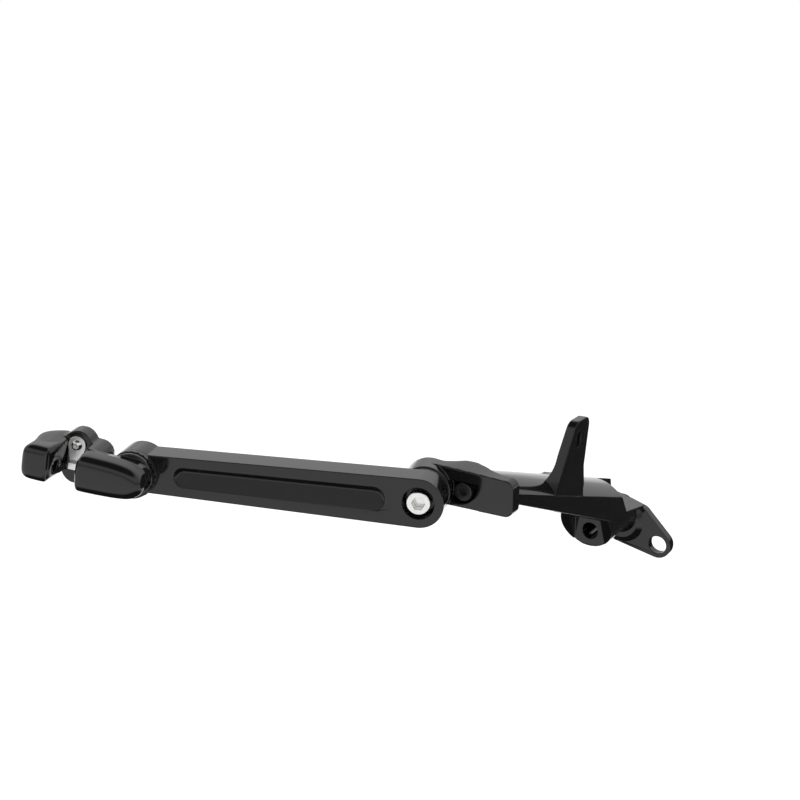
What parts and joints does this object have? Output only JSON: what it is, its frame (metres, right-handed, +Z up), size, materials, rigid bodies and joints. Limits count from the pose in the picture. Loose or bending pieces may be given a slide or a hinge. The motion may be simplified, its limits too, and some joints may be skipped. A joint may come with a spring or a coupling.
{
  "type": "highway peg mount",
  "caption": "Cast frame bracket with a crowned beam, clamped swing arm and turning clevis that holds a fold-down foot peg ahead of the rider.",
  "frame": {"origin": "centre of the main bolt bore on the face of its raised boss, which bears on the motorcycle's frame", "axes": "+X forward, +Y outboard to the left along the main bolt, +Z up, as mounted"},
  "size_m": [0.3114, 0.4178, 0.1655],
  "materials": {
    "black_casting": "cast aluminium, gloss black powder coat",
    "badge_black": "bare satin black inlay disc",
    "bright_steel": "bright stainless steel",
    "plated_steel": "zinc plated steel",
    "spring_steel": "stainless spring strip"
  },
  "bodies": {
    "bracket": {"frame_bracket": "black_casting", "beam_thread_insert": "plated_steel", "end_knuckle": "black_casting", "knuckle_bolt": "bright_steel", "knuckle_lock_washer": "plated_steel", "rear_serrated_ring": "plated_steel", "rear_ring_dowels": "plated_steel", "pivot_thread_insert": "plated_steel", "arm_pivot_bolt": "bright_steel", "arm_pivot_washer": "plated_steel"},
    "arm": {"support_arm": "black_casting", "arm_badge": "badge_black", "front_serrated_ring": "plated_steel", "front_ring_dowels": "plated_steel"},
    "clevis": {"peg_clevis": "black_casting", "clevis_thread_insert": "plated_steel", "front_screw": "bright_steel", "front_washer": "plated_steel", "detent_leaf": "spring_steel", "leaf_screw": "bright_steel"}
  },
  "joints": [
    {"name": "arm_pivot", "type": "hinge", "parent": "bracket", "child": "arm", "pos_m": [0.0232, 0.3023, 0.0934], "axis": [-0.342, 0.9397, 0], "range_deg": [-90, 90]},
    {"name": "clevis_pivot", "type": "hinge", "parent": "arm", "child": "clevis", "pos_m": [0.20495, 0.36845, 0.10185], "axis": [-0.342, 0.9397, 0], "range_deg": [-75, 75]}
  ]
}
